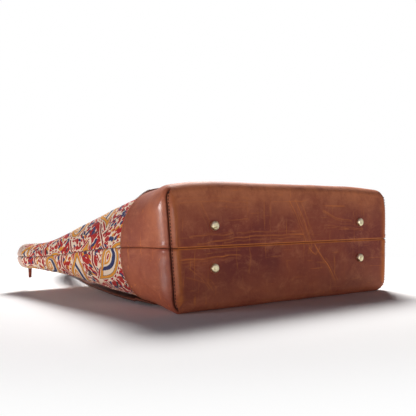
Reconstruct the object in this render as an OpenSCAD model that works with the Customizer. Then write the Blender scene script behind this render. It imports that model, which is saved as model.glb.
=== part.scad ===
// Tote bag of leather and block-printed cloth, lying on its front face as it was put down.
// X runs along the base, Y from the base to the mouth and Z up. The front face is the lower one.

/* [Bag body] */
// Width of the base between its corner seams
base_w = 352; // [310:2:390]
// Depth of the base between its two long folds
base_d = 127; // [110:1:140]
// Height of the bag from its base to its rim
bag_h = 300; // [270:2:340]
// Width of the bag across its mouth
mouth_w = 448; // [416:2:476]
// Thickness of the closed mouth
mouth_t = 36; // [32:1:42]
// How far the mouth sinks below the middle of the base
mouth_drop = 24; // [12:1:28]
// How far the middle of each face bulges
face_bulge = 6.5; // [3:0.5:9]
// Radius of the four corners of the base
base_corner = 14; // [12:1:18]
// How much wider those corners become on the way up
side_round = 28; // [15:1:34]
// Radius of the fold between the base and the walls
base_fold = 10; // [6:0.5:11]

/* [Leather, cloth and lining] */
// Thickness of the leather
leather_t = 2.2; // [1.6:0.1:3]
// Height of the leather above the base
leather_h = 80; // [66:1:110]
// Thickness of the printed cloth with its backing
cloth_t = 1.6; // [1:0.1:2.2]
// How far the cloth reaches under the leather
lap = 12; // [6:1:20]
// Width of the hem along the rim
hem_w = 9; // [6:1:14]
// How far the hem stands out of the cloth
hem_t = 0.8; // [0.4:0.1:1.2]
// Thickness of the lining
lining_t = 0.8; // [0.5:0.1:1.2]
// Play between layers that are sewn together
sewn_gap = 0.3; // [0.2:0.05:0.5]
// Gap between the two halves along the side seams and the base seam
seam_gap = 0.3; // [0.2:0.05:0.6]
// Play of the lining, which hangs loose in the bag
lining_gap = 0.7; // [0.5:0.05:0.9]

/* [Base] */
// Thickness of the stiffening board
board_t = 2.5; // [1.5:0.1:4]
// Spacing of the feet along the base
feet_along = 237; // [180:1:270]
// Spacing of the feet across the base
feet_across = 46; // [30:1:70]
// Diameter of a foot
foot_d = 10.5; // [9:0.5:14]
// Height of a foot
foot_h = 4; // [3:0.1:6]
// Diameter of the flat on a foot
foot_flat = 6; // [4:0.5:7]
// Diameter of the shank that holds a foot
shank_d = 2.6; // [2:0.1:4]
// Diameter of the washer inside
washer_d = 9; // [7:0.5:12]
// Thickness of the washer
washer_t = 0.8; // [0.5:0.1:1.2]

/* [Handles] */
// Width of a strap
strap_w = 28; // [20:1:32]
// Thickness of a strap
strap_t = 3; // [2:0.1:3.2]
// Thickness of a strap's skived end
strap_end_t = 1.6; // [1:0.1:2]
// How far a strap's sewn end reaches down over the leather
strap_lap = 14; // [12:1:30]
// Distance from the base's corner to the outer edge of a strap's sewn end
strap_inset = 22; // [10:1:26]
// Spacing of a handle's two straps at the rim
strap_spacing = 216; // [150:2:230]
// How far a handle's loop reaches past the rim
handle_reach = 205; // [160:5:260]
// Width of the loop's round end
handle_end_w = 120; // [90:2:150]
// How far above the leather the front straps are sewn on, before they lie free
strap_hold = 16; // [10:1:60]

/* [Zip] */
// Distance from each side of the mouth to the end of the zip
zip_inset = 26; // [23:1:51]
// Depth of the zip's tape below the rim
tape_sink = 1.2; // [1:0.1:3]
// Thickness of the tape
tape_t = 0.8; // [0.5:0.1:1]
// Spacing of the teeth along one row
tooth_pitch = 4; // [3.6:0.1:5]
// Thickness of the teeth across the tape
tooth_t = 2.4; // [2:0.1:3]
// Length of the slider
slider_l = 12; // [11:0.5:16]
// Width of the slider
slider_w = 10; // [9.6:0.2:12]
// Thickness of the slider's two plates
plate_t = 1.2; // [1:0.1:1.6]
// Length of the metal puller from its pin
puller_l = 20; // [19:0.5:26]
// Thickness of the puller
puller_t = 1.4; // [1:0.1:1.5]
// Length of the leather strip below the puller
strip_l = 27.5; // [18:0.5:30]
// Width of the leather strip
strip_w = 5; // [3.5:0.1:5.5]
// Thickness of the strip's leather
strip_t = 1.3; // [0.8:0.1:1.4]
// Play between pieces that move
run_gap = 0.3; // [0.25:0.05:0.4]

/* [Hidden] */
$fn = 48;

FRONT = -1;
BACK = 1;
leather_colour = "#8a5238";
strap_colour = "#5b3526";
cloth_colour = "#d9b99a";
lining_colour = "#c9b48e";
tape_colour = "#5a4234";
brass_colour = "#c9b37a";
board_colour = "#a58c68";

// Steps of the lofted walls
fold_steps = 3;
corner_steps = 5;
face_steps = 14;
// A wall stands straight beside its side seam for at least this height
side_flat = 3;
// Powers of the curves in a cross-section: how late the faces draw in on the way up, how quickly the
// straight part of a side ends, and how flat the middle of a bulging face is
late_taper = 1.2;
side_fade = 6.5;
flat_middle = 4;

// Depths of the layers below the leather's outer skin
cloth_off = leather_t + sewn_gap;
wall_off = cloth_off + cloth_t;
lining_off = wall_off + lining_gap;

// The part's origin is at the middle of its bottom, between the feet and the ends of the handles
end_y = bag_h + handle_reach + strap_t / 2;
origin_y = (foot_h - end_y) / 2;
// Height of the base's middle over the surface that the bag lies on
rest_z = base_d / 2 + face_bulge;

module placed() translate([0, origin_y, 0]) children();

// Cross-section of the bag at a share s of its height: 0 at the base, 1 at the rim
function rise(s) = pow(sin(90 * pow(s, late_taper)), 2);
function half_w(s) = (base_w + (mouth_w - base_w) * s) / 2;
function half_t(s) = (base_d + (mouth_t - base_d) * rise(s)) / 2;
function mid_z(s) = rest_z - mouth_drop * rise(s);
function bulge(s) = face_bulge * sqrt(1 - rise(s));
function round_x(s) = base_corner + side_round * sin(180 * pow(s, 0.7));
function flat_share(s) = (1 - 2 * base_corner / base_d) * pow(1 - s, side_fade);
function flat_z(s, off) = max((half_t(s) - off) * flat_share(s), side_flat);
function corner_x(s, off) = max(round_x(s) - off, 1);

// Height of a wall over the bag's middle plane, at x, a depth off below the leather's skin
function wall_w(x, s, off) =
    let (a = half_w(s) - off,
         b = half_t(s) - off,
         r = corner_x(s, off),
         over = min(max(abs(x) - (a - r), 0) / r, 1),
         low = flat_z(s, off))
    low + (b - low) * sqrt(1 - over * over) + bulge(s) * (1 - pow(abs(x) / a, flat_middle));

// Half a cross-section as [x, height], from the right side seam over the face to the left one
function half_ring(s, off) =
    let (a = half_w(s) - off,
         r = corner_x(s, off),
         right = [for (k = [0 : corner_steps]) a - r * (1 - cos(90 * k / corner_steps))],
         across = [for (k = [1 : face_steps - 1]) (a - r) * (1 - 2 * k / face_steps)],
         left = [for (k = [corner_steps : -1 : 0]) -right[k]])
    concat([[a, seam_gap / 2]], [for (x = concat(right, across, left)) [x, wall_w(x, s, off)]],
           [[-a, seam_gap / 2]]);

function ring_at(y, off, side) =
    let (s = y / bag_h)
    [for (p = half_ring(s, off)) [p[0], y, mid_z(s) + side * p[1]]];

// A whole cross-section with no seams, from the right side over the back to the left and round the front
function loop_at(y, off) =
    let (back = ring_at(y, off, BACK), front = ring_at(y, off, FRONT), last = len(back) - 1)
    concat([for (k = [1 : last - 1]) back[k]], [for (k = [last - 1 : -1 : 1]) front[k]]);

// Rings round the fold at the bottom, from the flat base to the wall, for a skin at depth off
function fold_y(k, off) = base_fold - (base_fold - off) * cos(90 * k / fold_steps);
function fold_off(k, off) = base_fold - (base_fold - off) * sin(90 * k / fold_steps);

function span(from, to, steps) = [for (k = [0 : steps]) from + (to - from) * k / steps];
function flipped(faces) = [for (f = faces) [for (k = [len(f) - 1 : -1 : 0]) f[k]]];
function quad(a, b, c, d) = [[a, b, c], [a, c, d]];

// A sewn wall as one solid: rings of outer points, the same rings of inner points, and the edges between.
// With a base, the first ring is closed by a flat plate that ends at the base seam.
module sewn_wall(outer, inner, side, has_base) {
    n = len(outer[0]);
    m = len(outer);
    skin = n * m;
    outside = [for (i = [0 : m - 2], j = [0 : n - 2])
        each quad(i * n + j, i * n + j + 1, (i + 1) * n + j + 1, (i + 1) * n + j)];
    inside = [for (i = [0 : m - 2], j = [0 : n - 2])
        each quad(skin + i * n + j, skin + (i + 1) * n + j,
                  skin + (i + 1) * n + j + 1, skin + i * n + j + 1)];
    ends = [for (i = [0 : m - 2]) each concat(
        quad(i * n, (i + 1) * n, skin + (i + 1) * n, skin + i * n),
        quad(i * n + n - 1, skin + i * n + n - 1, skin + (i + 1) * n + n - 1, (i + 1) * n + n - 1))];
    top = (m - 1) * n;
    rim = [for (j = [0 : n - 2]) each quad(top + j, top + j + 1, skin + top + j + 1, skin + top + j)];
    bottom = has_base
        ? concat([[for (j = [n - 1 : -1 : 0]) j]], [[for (j = [0 : n - 1]) skin + j]],
                 quad(0, skin, skin + n - 1, n - 1))
        : [for (j = [0 : n - 2]) each quad(j, skin + j, skin + j + 1, j + 1)];
    faces = concat(outside, inside, ends, rim, bottom);
    polyhedron(concat([for (r = outer) each r], [for (r = inner) each r]),
               side == FRONT ? flipped(faces) : faces, convexity = 8);
}

// A bag within the bag: closed rings, with a flat bottom inside and out
module sewn_pouch(outer, inner) {
    n = len(outer[0]);
    m = len(outer);
    skin = n * m;
    function next(j) = (j + 1) % n;
    outside = [for (i = [0 : m - 2], j = [0 : n - 1])
        each quad(i * n + j, i * n + next(j), (i + 1) * n + next(j), (i + 1) * n + j)];
    inside = [for (i = [0 : m - 2], j = [0 : n - 1])
        each quad(skin + i * n + j, skin + (i + 1) * n + j,
                  skin + (i + 1) * n + next(j), skin + i * n + next(j))];
    top = (m - 1) * n;
    rim = [for (j = [0 : n - 1]) each quad(top + j, top + next(j), skin + top + next(j), skin + top + j)];
    bottoms = [[for (j = [n - 1 : -1 : 0]) j], [for (j = [0 : n - 1]) skin + j]];
    polyhedron(concat([for (r = outer) each r], [for (r = inner) each r]),
               concat(outside, inside, rim, bottoms), convexity = 8);
}

// Leather half: half the base, the fold and the wall up to the cloth
wall_steps = 4;
function wall_levels() = [for (y = span(base_fold, leather_h, wall_steps)) if (y > base_fold) y];
function leather_rings(off, side) = concat(
    [for (k = [0 : fold_steps]) ring_at(fold_y(k, off), fold_off(k, off), side)],
    [for (y = wall_levels()) ring_at(y, off, side)]);

module leather_half(side) {
    color(leather_colour) placed() difference() {
        sewn_wall(leather_rings(0, side), leather_rings(leather_t, side), side, true);
        for (x = [-1, 1])
            translate([x * feet_along / 2, -1, rest_z + side * feet_across / 2])
                rotate([-90, 0, 0]) cylinder(d = shank_d + 2 * run_gap, h = leather_t + 2);
    }
}

// Cloth half: from under the leather up to the rim, with its hem standing out a little
cloth_steps = 10;
hem_slope = 1;
hem_y = bag_h - hem_w;
function cloth_levels() = concat(span(leather_h - lap, hem_y - hem_slope, cloth_steps), [hem_y, bag_h]);
function hem_out(y) = y >= hem_y ? hem_t : 0;

module cloth_half(side) {
    color(cloth_colour) placed() sewn_wall(
        [for (y = cloth_levels()) ring_at(y, cloth_off - hem_out(y), side)],
        [for (y = cloth_levels()) ring_at(y, wall_off, side)], side, false);
}

// The lining hangs from the hem, at the same levels as the walls, and covers the board and the washers
board_y = leather_t + sewn_gap;
washer_y = board_y + board_t;
peen_h = 0.8;
lining_y = washer_y + washer_t + peen_h + sewn_gap;
function lining_levels() = concat(
    [for (y = wall_levels()) if (y < leather_h - lap) y],
    [for (y = cloth_levels()) if (y < hem_y) y]);
function lining_rings(off, floor_y) = concat(
    [loop_at(floor_y, lining_off + base_fold), loop_at(floor_y, off + base_fold / 2)],
    [for (y = lining_levels()) loop_at(y, off)]);

module lining() {
    color(lining_colour) placed()
        sewn_pouch(lining_rings(lining_off, lining_y),
                   lining_rings(lining_off + lining_t, lining_y + lining_t));
}

// Base: board, feet and washers
module at_feet() {
    for (x = [-1, 1], z = [-1, 1])
        translate([x * feet_along / 2, 0, rest_z + z * feet_across / 2]) rotate([-90, 0, 0]) children();
}

board_corner = 6;
module base_board() {
    w = base_w - 2 * base_fold - 2;
    d = base_d - 2 * base_fold - 2;
    color(board_colour) placed() difference() {
        translate([0, board_y, rest_z]) rotate([-90, 0, 0]) linear_extrude(board_t) {
            square([w - 2 * board_corner, d], center = true);
            square([w, d - 2 * board_corner], center = true);
            for (x = [-1, 1], y = [-1, 1])
                translate([x * (w / 2 - board_corner), y * (d / 2 - board_corner)]) circle(board_corner);
        }
        at_feet() cylinder(d = shank_d + 2 * run_gap, h = washer_y + 1);
    }
}

foot_round = 0.6;
function foot_profile() = concat(
    [[0, 0], [foot_d / 2, 0]],
    [for (a = [0 : 15 : 90])
        [(foot_flat + (foot_d - foot_flat) * cos(a)) / 2, foot_h * (1 - foot_round * (1 - sin(a)))]],
    [[0, foot_h]]);

module base_feet() {
    color(brass_colour) placed() at_feet() {
        rotate([180, 0, 0]) rotate_extrude() polygon(foot_profile());
        cylinder(d = shank_d, h = washer_y + washer_t);
        translate([0, 0, washer_y + washer_t]) cylinder(d1 = shank_d * 1.7, d2 = shank_d, h = peen_h);
    }
}

module foot_washers() {
    color(brass_colour) placed() at_feet() translate([0, 0, washer_y]) difference() {
        cylinder(d = washer_d, h = washer_t);
        translate([0, 0, -1]) cylinder(d = shank_d + 2 * run_gap, h = washer_t + 2);
    }
}

// Handles: each strap is sewn to its face from the leather up. The back straps are sewn as far as the rim,
// and the front straps lie free on the ground from just above the leather.
strap_foot = leather_h - strap_lap;
strap_x0 = base_w / 2 - strap_inset - strap_w / 2;
strap_x1 = strap_spacing / 2;
strap_lean = atan2(strap_x0 - strap_x1, bag_h - strap_foot);
along = [-sin(strap_lean), cos(strap_lean)];
across = [cos(strap_lean), sin(strap_lean)];
ring_step = 14;
step_down = 26;
skive_l = 28;
handle_play = 0.4;

function strap_centre(y) = [strap_x0 + (strap_x1 - strap_x0) * (y - strap_foot) / (bag_h - strap_foot), y];
// Depth of the strap's underside: over the leather first, then down on to the cloth
function strap_off(y) =
    let (down = min(max((y - leather_h - 4) / step_down, 0), 1))
    -sewn_gap + (cloth_off - hem_t - sewn_gap) * down;
// A strap thins out towards its sewn end
function strap_thick(y) =
    strap_end_t + (strap_t - strap_end_t) * min(max((y - strap_foot) / skive_l, 0), 1);
function on_face(p, off, side) =
    let (s = min(p[1] / bag_h, 1))
    [p[0], p[1], mid_z(s) + side * wall_w(p[0], s, off)];
// A ring of points round a strap: across its underside, and back across its top
columns = 4;
function underside() = [for (k = [0 : columns]) 1 - 2 * k / columns];
function upside() = [for (k = [columns : -1 : 0]) 1 - 2 * k / columns];
strap_r = strap_w / 2;
function sewn_ring(y, side, half = strap_r) =
    let (c = strap_centre(y), off = strap_off(y))
    concat([for (t = underside()) on_face(c + across * half * t, off, side)],
           [for (t = upside()) on_face(c + across * half * t, off - strap_thick(y), side)]);
// The sewn end of a strap is round
function round_end(side) = [for (a = [25, 50, 75])
    sewn_ring(strap_foot + strap_r * (1 - cos(a)), side, strap_r * sin(a))];

// The loop is a Bezier curve in plan. It turns on edge on its way to the round end,
// the front one only past the rim.
function bezier(p, q) =
    pow(1 - q, 3) * p[0] + 3 * pow(1 - q, 2) * q * p[1] + 3 * (1 - q) * q * q * p[2] + pow(q, 3) * p[3];
function bezier_slope(p, q) =
    3 * pow(1 - q, 2) * (p[1] - p[0]) + 6 * (1 - q) * q * (p[2] - p[1]) + 3 * q * q * (p[3] - p[2]);
function ease(q) = q * q * (3 - 2 * q);
front_flat = 0.45;
function loop_turn(q, side) =
    let (from = side == FRONT ? front_flat : 0)
    90 * ease(max(q - from, 0) / (1 - from));
function loop_curve(from_y) =
    let (start = strap_centre(from_y), reach = bag_h + handle_reach - from_y)
    [start, start + along * 0.4 * reach, [handle_end_w / 2, bag_h + handle_reach], [0, bag_h + handle_reach]];
// The front loop lies on the ground, and the back loop on the front one
back_lift = norm([strap_w, strap_t]) + handle_play;
function loop_rest(q, side) =
    let (turn = loop_turn(q, side))
    strap_r * sin(turn) + strap_t / 2 * cos(turn) + (side == BACK ? back_lift : 0);
// The front straps drop from their last stitch, and the back straps run out over the rim first
function loop_fall(q, side) = side == FRONT ? pow(1 - q, 6) : pow(1 - q, 4) * (1 + 4 * q);
function loop_ring(q, side, from_y) =
    let (p = loop_curve(from_y), c = bezier(p, q), d = bezier_slope(p, q) / norm(bezier_slope(p, q)),
         out = [d[1], -d[0], 0], up = [0, 0, 1], turn = loop_turn(q, side),
         start = on_face(p[0], strap_off(from_y) - strap_t / 2, side)[2],
         z = loop_rest(q, side) + (start - loop_rest(0, side)) * loop_fall(q, side),
         wide = (out * cos(turn) + up * sin(turn)) * strap_r,
         thick = (up * cos(turn) - out * sin(turn)) * side * strap_t / 2,
         mid = [c[0], c[1], z])
    concat([for (t = underside()) mid + wide * t - thick], [for (t = upside()) mid + wide * t + thick]);
function mirrored(ring) = [for (p = ring) [-p[0], p[1], p[2]]];

module handle(side) {
    from_y = side == FRONT ? leather_h + strap_hold : bag_h;
    first_y = strap_foot + strap_r;
    loop_steps = ceil((bag_h + handle_reach - from_y) / ring_step);
    sewn = [for (y = span(first_y, from_y, ceil((from_y - first_y) / ring_step) + 1)) sewn_ring(y, side)];
    free = [for (k = [1 : loop_steps]) loop_ring(k / loop_steps, side, from_y)];
    right = concat(round_end(side), sewn, free);
    rings = concat(right, [for (k = [len(right) - 2 : -1 : 0]) mirrored(right[k])]);
    n = len(rings[0]);
    last = n * (len(rings) - 1);
    sides = [for (i = [0 : len(rings) - 2], j = [0 : n - 1])
        each quad(n * i + j, n * i + (j + 1) % n, n * i + n + (j + 1) % n, n * i + n + j)];
    ends = [for (k = [0 : columns - 1]) each concat(
        quad(n - 1 - k, n - 2 - k, k + 1, k),
        quad(last + k, last + k + 1, last + n - 2 - k, last + n - 1 - k))];
    faces = concat(sides, ends);
    color(strap_colour) placed()
        polyhedron([for (r = rings) each r], side == FRONT ? faces : flipped(faces), convexity = 10);
}

// Zip: its tapes fill the mouth between the two lips, just below the rim
zip_l = mouth_w - 2 * zip_inset;
tape_y = bag_h - tape_sink;
zip_z = mid_z(1);
tape_edge = 3;
stop_l = 2.5;
tooth_w = 1.6;
tooth_tip = 0.7;
tooth_reach = 1.5;
spine = 0.95;
spine_in = tape_edge - 0.05 - spine;

// Flat outlines in the plane of the tape, drawn as x and z, then given a thickness from y up
module in_tape_plane(y, t) translate([0, y + t, zip_z]) rotate([90, 0, 0]) linear_extrude(t) children();

module zip_tape(side) {
    lip = half_ring(tape_y / bag_h, wall_off + sewn_gap);
    end = seam_gap / 2;
    opening = [[-zip_l / 2, end], [-zip_l / 2, tape_edge], [zip_l / 2, tape_edge], [zip_l / 2, end]];
    color(tape_colour) placed() in_tape_plane(tape_y - tape_t / 2, tape_t)
        polygon([for (p = concat(lip, opening)) [p[0], side * p[1]]]);
}

slider_x = -zip_l / 2 + stop_l + 2 * run_gap + slider_l / 2;
post_l = 2.6;
post_x = -slider_l / 2 + 0.8;
post_w = 2.6;
tooth_x0 = slider_x + post_x + post_l + 2 * run_gap + tooth_w / 2;
tooth_count = floor((zip_l / 2 - stop_l - run_gap - tooth_w / 2 - tooth_x0 - tooth_pitch / 2) / tooth_pitch);

// One row of teeth on its cord. The front row stands half a pitch along, so that the rows mesh.
module zip_teeth(side) {
    shift = side == FRONT ? tooth_pitch / 2 : 0;
    row = [for (k = [0 : tooth_count]) each
        let (x = tooth_x0 + shift + k * tooth_pitch, w = tooth_w / 2)
        [[x - w, spine_in], [x - w * tooth_tip, -tooth_reach],
         [x + w * tooth_tip, -tooth_reach], [x + w, spine_in]]];
    back = [[row[len(row) - 1][0], spine_in + spine], [row[0][0], spine_in + spine]];
    color(brass_colour) placed() in_tape_plane(tape_y - tooth_t / 2, tooth_t)
        polygon([for (p = concat(row, back)) [p[0], side * p[1]]]);
}

module zip_stops() {
    color(brass_colour) placed() in_tape_plane(tape_y - tooth_t / 2, tooth_t) {
        for (side = [FRONT, BACK])
            translate([-zip_l / 2 + run_gap, side > 0 ? run_gap : -spine_in - spine])
                square([stop_l - run_gap, spine_in + spine - run_gap]);
        translate([zip_l / 2 - stop_l, -spine_in - spine]) square([stop_l - run_gap, 2 * (spine_in + spine)]);
    }
}

// Slider: two plates joined by a post, with flanges that run beside the teeth and a bridge for the puller
plate_in = tape_y - tooth_t / 2 - run_gap - plate_t;
plate_out = tape_y + tooth_t / 2 + run_gap;
plate_top = plate_out + plate_t;
flange_in = spine_in + spine + 0.75;
pin_d = 1.5;
pin_y = plate_top + run_gap + 0.1 + pin_d / 2;
bridge_w = 2.4;
bridge_l = 7.2;
bridge_t = 1.1;
window_l = 4;
window_h = pin_y + pin_d / 2 + run_gap - plate_top;
bridge_slope = 0.8;

module slider_outline() {
    l = slider_l / 2;
    w = slider_w / 2;
    nose = 1.4;
    polygon([[-l, nose - w], [nose - l, -w], [l / 6, -w], [l, 0.6 - w],
             [l, w - 0.6], [l / 6, w], [nose - l, w], [-l, w - nose]]);
}

module slider_flanges() {
    difference() {
        slider_outline();
        square([slider_l + 2, 2 * flange_in], center = true);
    }
}

module zip_slider() {
    flange_h = tooth_t / 2 - tape_t / 2;
    color(brass_colour) placed() translate([slider_x, 0, 0]) {
        in_tape_plane(plate_in, plate_t) slider_outline();
        in_tape_plane(plate_out, plate_t) slider_outline();
        in_tape_plane(tape_y - tooth_t / 2 - run_gap, flange_h) slider_flanges();
        in_tape_plane(tape_y + tape_t / 2 + run_gap, flange_h) slider_flanges();
        in_tape_plane(plate_in, plate_top - plate_in)
            translate([post_x, -post_w / 2]) square([post_l, post_w]);
        translate([0, plate_top, zip_z - bridge_w / 2]) linear_extrude(bridge_w) difference() {
            polygon([[-bridge_l / 2, 0], [bridge_slope - bridge_l / 2, window_h + bridge_t],
                     [bridge_l / 2 - bridge_slope, window_h + bridge_t], [bridge_l / 2, 0]]);
            translate([-window_l / 2, 0]) square([window_l, window_h]);
        }
    }
}

// Puller: a pin under the bridge, two arms beside it and a plate with a slot for the leather strip
arm_in = bridge_w / 2 + run_gap;
arm_w = 1.2;
arm_l = 6;
plate_x = 5.2;
puller_w = 6;
puller_round = 1.5;
slot_l = strip_w + 1;
slot_end = puller_l - 2.5;
rim_w = 1.1;
strip_hole = norm([puller_t, rim_w]) / 2 + run_gap - 0.04;
strip_ring = strip_hole + strip_t;
slot_h = strip_ring - rim_w / 2 + 2 * run_gap;
rim_z = (rim_w - puller_w) / 2;

module puller_outline() {
    for (side = [-1, 1])
        translate([-arm_l, side > 0 ? arm_in : -arm_in - arm_w]) square([arm_l, arm_w]);
    difference() {
        union() {
            translate([-puller_l + puller_round, -puller_w / 2])
                square([puller_l - puller_round - plate_x, puller_w]);
            translate([-puller_l, puller_round - puller_w / 2])
                square([puller_round, puller_w - 2 * puller_round]);
            for (side = [-1, 1])
                translate([puller_round - puller_l, side * (puller_w / 2 - puller_round)])
                    circle(puller_round);
        }
        translate([-slot_end, rim_w - puller_w / 2]) square([slot_l, slot_h]);
    }
}

module zip_puller() {
    color(brass_colour) placed() translate([slider_x, 0, 0]) {
        in_tape_plane(pin_y - puller_t / 2, puller_t) puller_outline();
        translate([0, pin_y, zip_z - arm_in - arm_w]) cylinder(d = pin_d, h = 2 * (arm_in + arm_w));
    }
}

// Leather strip: looped through the slot, both ends sewn together, tapering to its tip
tip_share = 0.62;
module pull_strip() {
    neck = strip_ring * 0.75;
    half = strip_w / 2;
    strip_x = slider_x - slot_end + slot_l / 2;
    color(strap_colour) placed() translate([strip_x, pin_y, zip_z + rim_z]) intersection() {
        rotate([90, 0, 90]) linear_extrude(strip_w, center = true) {
            difference() {
                circle(strip_ring);
                circle(strip_hole);
            }
            polygon([[-strip_t, -neck], [-strip_t, -strip_l], [strip_t, -strip_l], [strip_t, -neck]]);
        }
        rotate([90, 0, 0]) linear_extrude(4 * strip_ring, center = true)
            polygon([[-half, strip_ring], [-half, -strip_l / 4], [-half * tip_share, -strip_l],
                     [half * tip_share, -strip_l], [half, -strip_l / 4], [half, strip_ring]]);
    }
}

module front_leather() leather_half(FRONT);
module back_leather() leather_half(BACK);
module front_cloth() cloth_half(FRONT);
module back_cloth() cloth_half(BACK);
module front_handle() handle(FRONT);
module back_handle() handle(BACK);
module front_zip_tape() zip_tape(FRONT);
module back_zip_tape() zip_tape(BACK);
module front_zip_teeth() zip_teeth(FRONT);
module back_zip_teeth() zip_teeth(BACK);

front_leather();
back_leather();
front_cloth();
back_cloth();
lining();
base_board();
base_feet();
foot_washers();
front_handle();
back_handle();
front_zip_tape();
back_zip_tape();
front_zip_teeth();
back_zip_teeth();
zip_stops();
zip_slider();
zip_puller();
pull_strip();
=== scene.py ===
"""Looks of a tote bag of leather and block-printed cloth that lies on its front face.

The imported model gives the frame. Lofted walls, straps and stitches stand for its soft solids, and its
metal and zip pieces keep their shapes. Lengths are in metres, in the model's own frame.
"""
import math

import bpy
import numpy as np
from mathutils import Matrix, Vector


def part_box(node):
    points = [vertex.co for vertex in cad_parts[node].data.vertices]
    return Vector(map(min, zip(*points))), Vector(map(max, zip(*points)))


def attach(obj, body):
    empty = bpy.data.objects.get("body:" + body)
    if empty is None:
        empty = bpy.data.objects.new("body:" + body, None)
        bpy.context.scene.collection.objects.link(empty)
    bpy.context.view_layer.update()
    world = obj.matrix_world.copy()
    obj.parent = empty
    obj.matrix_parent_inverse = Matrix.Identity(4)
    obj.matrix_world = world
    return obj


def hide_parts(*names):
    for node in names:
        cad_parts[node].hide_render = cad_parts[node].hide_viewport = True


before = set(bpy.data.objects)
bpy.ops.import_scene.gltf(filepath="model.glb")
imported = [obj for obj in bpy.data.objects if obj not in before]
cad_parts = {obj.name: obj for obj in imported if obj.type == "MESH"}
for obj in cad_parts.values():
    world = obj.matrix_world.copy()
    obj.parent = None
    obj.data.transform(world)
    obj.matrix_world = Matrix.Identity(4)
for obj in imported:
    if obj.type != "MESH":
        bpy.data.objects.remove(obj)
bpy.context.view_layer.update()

# The bag's own sizes, as in the part's source. Its heights come from the frame.
BASE_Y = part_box("front_leather")[0].y
LEATHER_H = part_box("front_leather")[1].y - BASE_Y
BAG_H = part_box("front_cloth")[1].y - BASE_Y
BASE_W, BASE_D = 0.352, 0.127
MOUTH_W, MOUTH_T, MOUTH_DROP = 0.448, 0.036, 0.024
FACE_BULGE, BASE_CORNER, SIDE_ROUND, BASE_FOLD = 0.0065, 0.014, 0.028, 0.010
# The seams pull the ends of the base squarer than the solid model
LEFT_CORNER, RIGHT_CORNER = 0.007, 0.009
SIDE_FLAT, LATE_TAPER, SIDE_FADE, FLAT_MIDDLE = 0.003, 1.2, 6.5, 4
LEATHER_T, CLOTH_T, SEWN_GAP = 0.0022, 0.0016, 0.0003
LAP, HEM_W, HEM_T = 0.012, 0.009, 0.0008
STRAP_W, STRAP_T, STRAP_END_T, STRAP_SKIVE = 0.028, 0.003, 0.0016, 0.028
STRAP_LAP, STRAP_INSET = 0.014, 0.022
STRAP_SPACING, STRAP_HOLD, STRAP_STEP_AT, STRAP_STEP_DOWN = 0.216, 0.016, 0.004, 0.026
HANDLE_REACH, HANDLE_END_W, HANDLE_PLAY = 0.205, 0.120, 0.0004
# Share of the front loop that lies flat, how far its strap bows out, and the levels where that fades
FRONT_FLAT, FRONT_BOW, BOW_FADE = 0.45, 0.009, (0.12, 0.25)
CLOTH_OFF = LEATHER_T + SEWN_GAP
REST_Z = BASE_D / 2 + FACE_BULGE
FRONT, BACK = -1, 1

# Steps of the lofted meshes: along a side, a corner and a face, and on the way up
LEATHER_STEPS = (60, 30, 440)
CLOTH_STEPS = (6, 64, 300)
FOLD_ROWS, WALL_ROWS, CLOTH_ROWS, HEM_ROWS = 26, 44, 150, 8
STRAP_STEP = 0.003


def smooth_step(value, low, high):
    t = np.clip((value - low) / (high - low), 0, 1)
    return t * t * (3 - 2 * t)


def bell(value, width, middle=0.0):
    """1 at the middle, falling off over about that width on both sides."""
    return np.exp(-((value - middle) / width) ** 2)


# Cross-sections of the bag at a share s of its height

def rise(s):
    return np.sin(s ** LATE_TAPER * np.pi / 2) ** 2


def half_w(s):
    return (BASE_W + (MOUTH_W - BASE_W) * s) / 2


def half_t(s):
    return (BASE_D + (MOUTH_T - BASE_D) * rise(s)) / 2


def mid_z(s):
    return REST_Z - MOUTH_DROP * rise(s)


def base_corner(x, s):
    """Radius of the base's corners, on the side where x is."""
    at_base = np.where(x < 0, LEFT_CORNER, RIGHT_CORNER)
    return at_base + (BASE_CORNER - at_base) * smooth_step(s, 0, 0.25)


def corner_r(x, s, off):
    return np.maximum(base_corner(x, s) + SIDE_ROUND * np.sin(np.pi * s ** 0.7) - off, 0.001)


def flat_z(x, s, off):
    share = (1 - 2 * base_corner(x, s) / BASE_D) * (1 - s) ** SIDE_FADE
    return np.maximum((half_t(s) - off) * share, SIDE_FLAT)


def wall_height(x, s, off):
    """Height of a wall over the bag's middle plane, a depth off below the leather's skin."""
    a = half_w(s) - off
    b = half_t(s) - off
    r = corner_r(x, s, off)
    low = flat_z(x, s, off)
    over = np.clip((np.abs(x) - (a - r)) / r, 0, 1)
    bulge = FACE_BULGE * np.sqrt(1 - rise(s)) * (1 - np.abs(x / a) ** FLAT_MIDDLE)
    return low + (b - low) * np.sqrt(1 - over ** 2) + bulge


def half_ring(s, off, steps):
    """x and height of half a cross-section, from the right side seam over the face to the left one."""
    side, corner, face = steps
    a = half_w(s) - off
    turn = 1 - np.cos(np.linspace(0, np.pi / 2, corner + 1))
    right = a - corner_r(1.0, s, off) * turn
    left = corner_r(-1.0, s, off) * turn - a
    top_x = np.concatenate([right, np.linspace(right[-1], left[-1], face + 1)[1:-1], left[::-1]])
    top_h = wall_height(top_x, s, off)
    share = np.linspace(0, 1, side + 1)[:-1]
    x = np.concatenate([np.full(side, a), top_x, np.full(side, -a)])
    return x, np.concatenate([top_h[0] * share, top_h, top_h[-1] * share[::-1]])


def side_mask(steps):
    """1 along the sides of a half ring, falling to 0 at the end of its corners."""
    side, corner, face = steps
    turned = smooth_step(np.cos(np.linspace(0, np.pi / 2, corner + 1)), 0.0, 0.35)
    half = np.concatenate([np.ones(side), turned])
    return np.concatenate([half, np.zeros(face - 1), half[::-1]])


def to_frame(points, side):
    """Bag points (x, y from the base, height over the middle plane) of one side, in the frame."""
    x, y, h = points.T
    return np.stack([x, y + BASE_Y, mid_z(np.clip(y / BAG_H, 0, 1)) + side * h], axis=1)


# Meshes

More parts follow.
